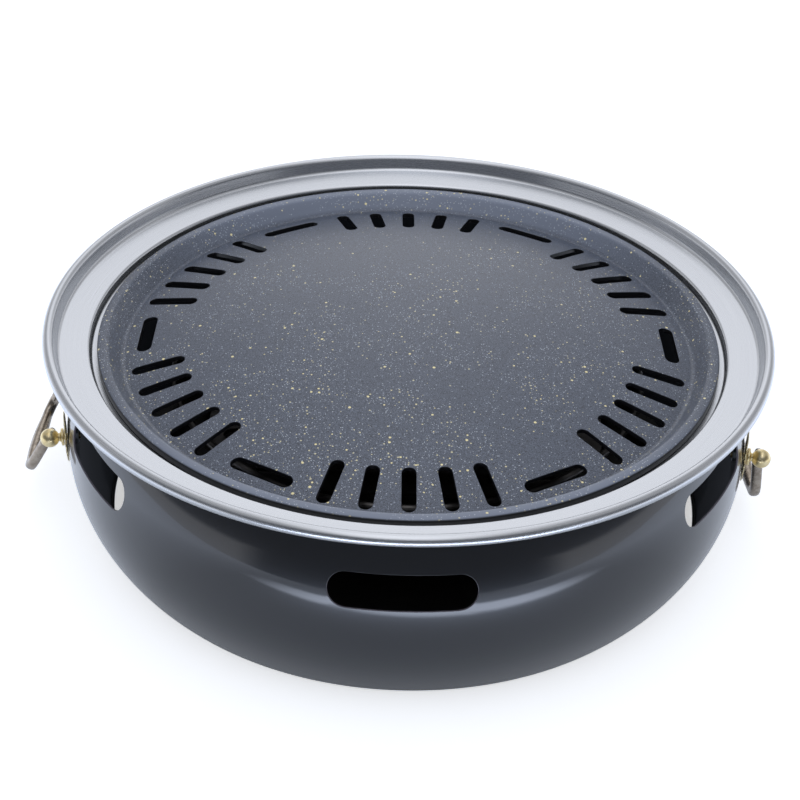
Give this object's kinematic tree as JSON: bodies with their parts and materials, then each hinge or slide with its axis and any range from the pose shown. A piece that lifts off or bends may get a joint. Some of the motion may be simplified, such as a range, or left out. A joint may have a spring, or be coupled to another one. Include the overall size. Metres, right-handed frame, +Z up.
{
  "type": "tabletop grill",
  "caption": "Round tabletop grill: barrel-shaped black shell with vents, steel drip ring, slotted domed plate, charcoal pan inside and brass drop handles.",
  "frame": {"origin": "on the grill's vertical axis, on the flat underside of the base tray, level with the shell's hem that it stands on", "axes": "+Z up, X through the two drop handles, -Y towards the viewer of the picture"},
  "size_m": [0.3432, 0.3242, 0.0982],
  "materials": {
    "gloss_black_enamel": "gloss black enamel on sheet steel",
    "matt_black_enamel": "matt black heatproof enamel",
    "satin_stainless": "spun and finely brushed round its axis",
    "speckled_non_stick": "satin grey non-stick coating with pale and gold flecks",
    "polished_brass": "polished",
    "aged_brass": "darkened and burnished",
    "zinc_plated_steel": "zinc plated"
  },
  "bodies": {
    "shell": {"body_shell": "gloss_black_enamel", "base_tray": "matt_black_enamel", "tray_clip_1": "matt_black_enamel", "tray_clip_2": "matt_black_enamel", "tray_clip_3": "matt_black_enamel", "tray_clip_4": "matt_black_enamel", "handle_plate_left_front": "aged_brass", "handle_post_left_front": "polished_brass", "post_washer_left_front": "zinc_plated_steel", "post_nut_left_front": "zinc_plated_steel", "handle_plate_left_back": "aged_brass", "handle_post_left_back": "polished_brass", "post_washer_left_back": "zinc_plated_steel", "post_nut_left_back": "zinc_plated_steel", "handle_plate_right_front": "aged_brass", "handle_post_right_front": "polished_brass", "post_washer_right_front": "zinc_plated_steel", "post_nut_right_front": "zinc_plated_steel", "handle_plate_right_back": "aged_brass", "handle_post_right_back": "polished_brass", "post_washer_right_back": "zinc_plated_steel", "post_nut_right_back": "zinc_plated_steel"},
    "ring": {"drip_ring": "satin_stainless"},
    "plate": {"grill_plate": "speckled_non_stick"},
    "pan": {"charcoal_pan": "satin_stainless", "pan_foot_1": "satin_stainless", "pan_foot_2": "satin_stainless", "pan_foot_3": "satin_stainless", "pan_foot_4": "satin_stainless", "pan_foot_screw_1": "zinc_plated_steel", "pan_foot_screw_2": "zinc_plated_steel", "pan_foot_screw_3": "zinc_plated_steel", "pan_foot_screw_4": "zinc_plated_steel"},
    "grate": {"charcoal_grate": "satin_stainless"},
    "left_bail": {"left_bail": "aged_brass"},
    "right_bail": {"right_bail": "aged_brass"}
  },
  "joints": [
    {"name": "ring_lift", "type": "slide", "parent": "shell", "child": "ring", "axis": [0, 0, 1], "range_m": [0, 0.15]},
    {"name": "plate_lift", "type": "slide", "parent": "ring", "child": "plate", "axis": [0, 0, 1], "range_m": [0, 0.06]},
    {"name": "pan_lift", "type": "slide", "parent": "shell", "child": "pan", "axis": [0, 0, 1], "range_m": [0, 0.09]},
    {"name": "grate_lift", "type": "slide", "parent": "pan", "child": "grate", "axis": [0, 0, 1], "range_m": [0, 0.0375]},
    {"name": "left_bail_swing", "type": "hinge", "parent": "shell", "child": "left_bail", "pos_m": [-0.16011, 0, 0.0456], "axis": [0, 1, 0], "range_deg": [-32.5, 135.5]},
    {"name": "right_bail_swing", "type": "hinge", "parent": "shell", "child": "right_bail", "pos_m": [0.16011, 0, 0.0456], "axis": [0, -1, 0], "range_deg": [-8, 160]}
  ],
  "couplings": [
    {"joint": "pan_lift", "follows": "ring_lift", "ratio": 0.6},
    {"joint": "grate_lift", "follows": "ring_lift", "ratio": 0.25}
  ]
}
